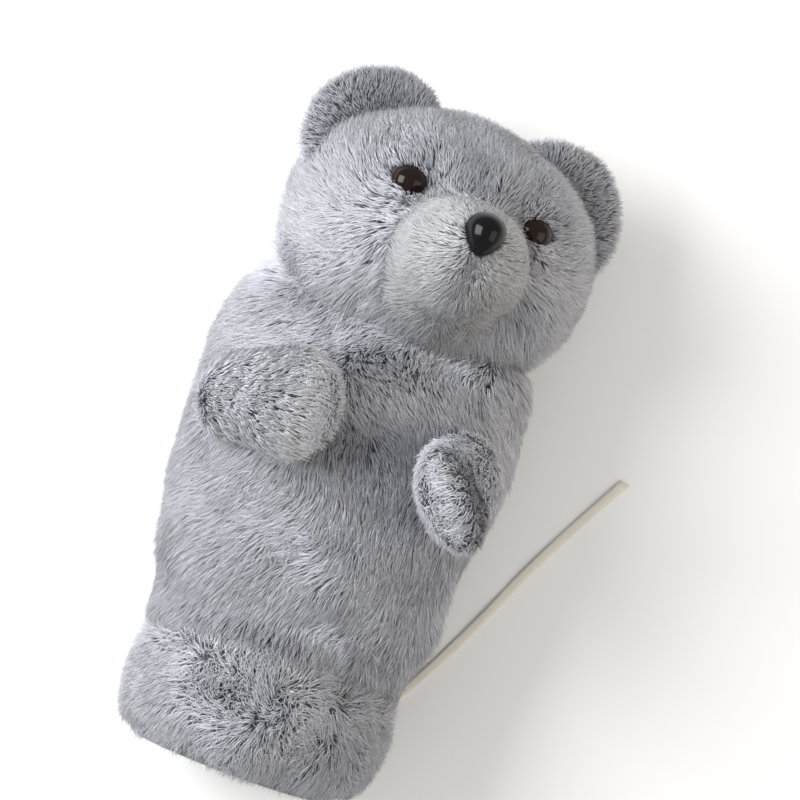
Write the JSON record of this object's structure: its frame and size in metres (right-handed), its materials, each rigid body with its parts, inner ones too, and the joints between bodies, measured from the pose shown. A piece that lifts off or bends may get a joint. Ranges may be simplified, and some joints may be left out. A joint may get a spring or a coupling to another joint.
{
  "type": "bear hand puppet",
  "caption": "Plush bear hand puppet: a fur tube with a turned-up cuff for the hand, a stuffed head on a soft neck and two finger arms.",
  "frame": {"origin": "middle of the arm opening at the hem, on the opening's axis", "axes": "-Y out of the arm opening, +Y towards the crown, +Z the way the face looks with the puppet on its back, +X the puppet's left"},
  "size_m": [0.1861, 0.3003, 0.1373],
  "materials": {
    "long_fur": "blue-grey faux fur, 10 to 12 mm pile, dark at the root and pale at the tip",
    "pale_fur": "paler grey faux fur, 9 mm pile",
    "short_fur": "darker grey faux fur, 5 mm pile",
    "lining_cloth": "smooth grey knitted tricot",
    "elastic": "woven elastic tape",
    "satin_ribbon": "cream satin",
    "polyester_fibre": "loose white polyester wadding",
    "brown_eye_plastic": "very dark brown, polished",
    "black_nose_plastic": "black, polished",
    "washer_plastic": "natural white, moulded"
  },
  "bodies": {
    "torso": {"cuff_band": "long_fur", "cuff_facing": "lining_cloth", "wrist_elastic": "elastic", "belly_panel": "long_fur", "back_panel": "long_fur", "glove_lining": "lining_cloth", "ribbon_strap": "satin_ribbon"},
    "neck": {"neck_sleeve": "long_fur"},
    "head": {"cheek_left": "long_fur", "cheek_right": "long_fur", "forehead_gusset": "long_fur", "throat_gusset": "long_fur", "head_back_panel": "long_fur", "muzzle_left": "pale_fur", "muzzle_right": "pale_fur", "chin_panel": "pale_fur", "head_stuffing": "polyester_fibre", "muzzle_stuffing": "polyester_fibre", "head_finger_pocket": "lining_cloth", "eye_left": "brown_eye_plastic", "eye_right": "brown_eye_plastic", "eye_washer_left": "washer_plastic", "eye_washer_right": "washer_plastic", "nose": "black_nose_plastic", "nose_washer": "washer_plastic", "ear_front_left": "short_fur", "ear_front_right": "short_fur", "ear_back_left": "long_fur", "ear_back_right": "long_fur"},
    "arm_left": {"arm_left_outer": "long_fur", "arm_left_palm": "short_fur", "arm_left_pocket": "lining_cloth"},
    "arm_right": {"arm_right_outer": "long_fur", "arm_right_palm": "short_fur", "arm_right_pocket": "lining_cloth"}
  },
  "joints": [
    {"name": "neck_turn", "type": "hinge", "parent": "torso", "child": "neck", "pos_m": [0, 0.208, 0.004], "axis": [0, 1, 0], "range_deg": [-35, 20], "stiffness_Nm_per_rad": 0.2},
    {"name": "head_nod", "type": "hinge", "parent": "neck", "child": "head", "pos_m": [0, 0.208, 0.004], "axis": [1, 0, 0], "range_deg": [-15, 15], "stiffness_Nm_per_rad": 0.4},
    {"name": "arm_left_swing", "type": "hinge", "parent": "torso", "child": "arm_left", "pos_m": [0.052, 0.15, 0.044], "axis": [0, 1, 0], "range_deg": [-12, 60], "stiffness_Nm_per_rad": 0.05},
    {"name": "arm_right_swing", "type": "hinge", "parent": "torso", "child": "arm_right", "pos_m": [-0.047, 0.149, 0.046], "axis": [0, -1, 0], "range_deg": [-8, 70], "stiffness_Nm_per_rad": 0.05}
  ]
}
